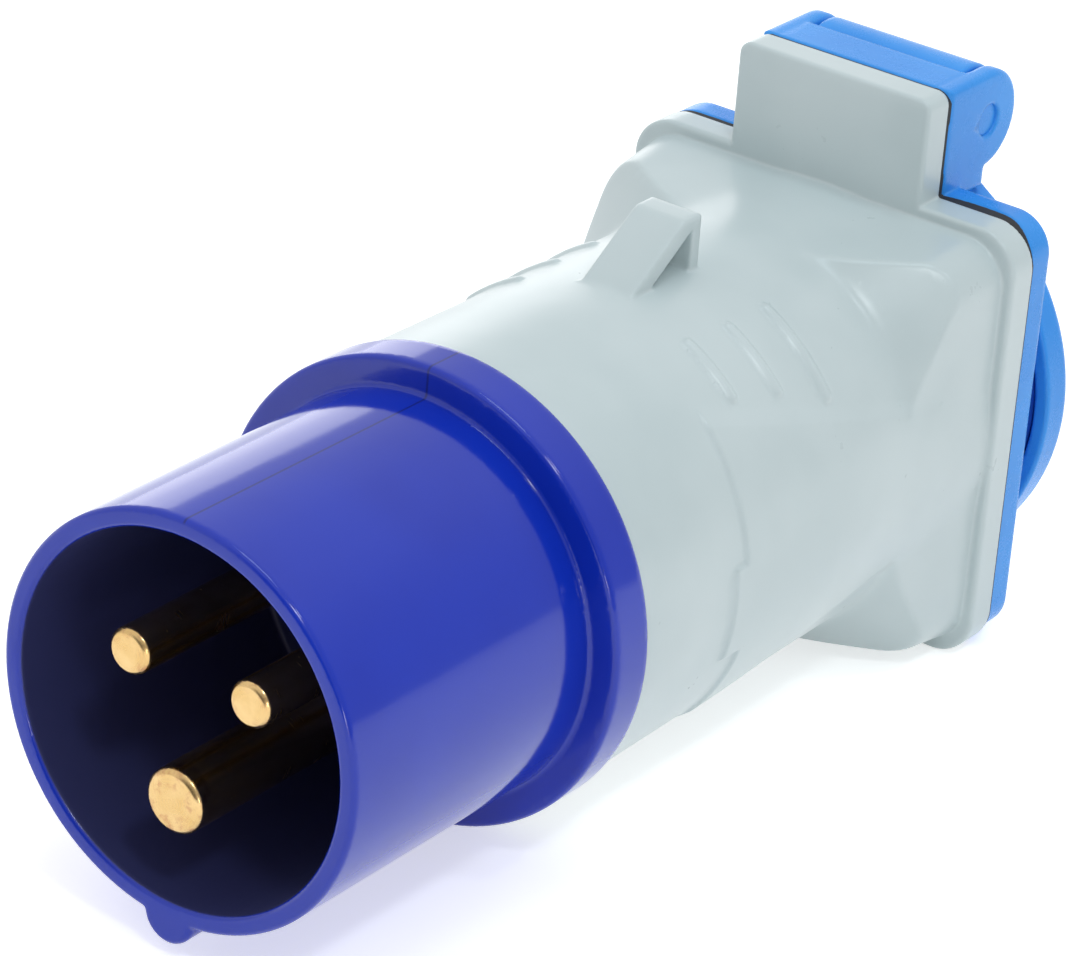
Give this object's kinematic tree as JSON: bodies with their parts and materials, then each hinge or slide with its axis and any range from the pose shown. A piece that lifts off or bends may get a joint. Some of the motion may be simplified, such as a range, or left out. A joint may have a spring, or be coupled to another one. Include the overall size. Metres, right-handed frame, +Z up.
{
  "type": "pin and sleeve adapter",
  "caption": "Adapter with a round pin and sleeve plug at the front, a flared one-piece housing and an earthed round-pin outlet under a spring-closed hinged lid.",
  "frame": {"origin": "on the plug axis, at the front face of the collar where the shroud leaves it", "axes": "+Z up towards the catch hook and the hinge, -Y the way the plug faces, +Y the way the outlet faces, +X to the right seen from the plug's front"},
  "size_m": [0.0508, 0.1259, 0.0633],
  "materials": {
    "plug_plastic": "smooth moulded nylon, dark blue",
    "housing_plastic": "fine satin moulded nylon, light grey",
    "outlet_plastic": "smooth moulded nylon, light blue",
    "dark_insulator": "plain moulded insulator",
    "pale_insulator": "plain moulded insulator",
    "brass": "turned brass",
    "steel": "plated steel",
    "seal_rubber": "soft black seal",
    "blue_rubber": "soft blue seal",
    "brown_wire": "wire insulation",
    "blue_wire": "wire insulation",
    "green_wire": "wire insulation"
  },
  "bodies": {
    "base": {"plug_shroud": "plug_plastic", "pin_carrier": "dark_insulator", "line_pin": "brass", "neutral_pin": "brass", "earth_pin": "brass", "pin_screws": "steel", "housing": "housing_plastic", "flange_gasket": "seal_rubber", "socket_body": "outlet_plastic", "plate_screws": "steel", "contact_base": "pale_insulator", "line_contact": "brass", "neutral_contact": "brass", "earth_clip": "steel", "contact_screws": "steel", "centre_screw": "steel", "line_lead": "brown_wire", "neutral_lead": "blue_wire", "earth_lead": "green_wire", "hinge_pin": "outlet_plastic", "lid_spring": "steel"},
    "cover": {"lid": "outlet_plastic", "lid_seal": "blue_rubber"}
  },
  "joints": [
    {"name": "lid_hinge", "type": "hinge", "parent": "base", "child": "cover", "pos_m": [0, 0.0832, 0.03155], "axis": [1, 0, 0], "range_deg": [0, 120], "stiffness_Nm_per_rad": 0.012, "springref_deg": -91.67, "deforming": ["lid_spring"]}
  ]
}
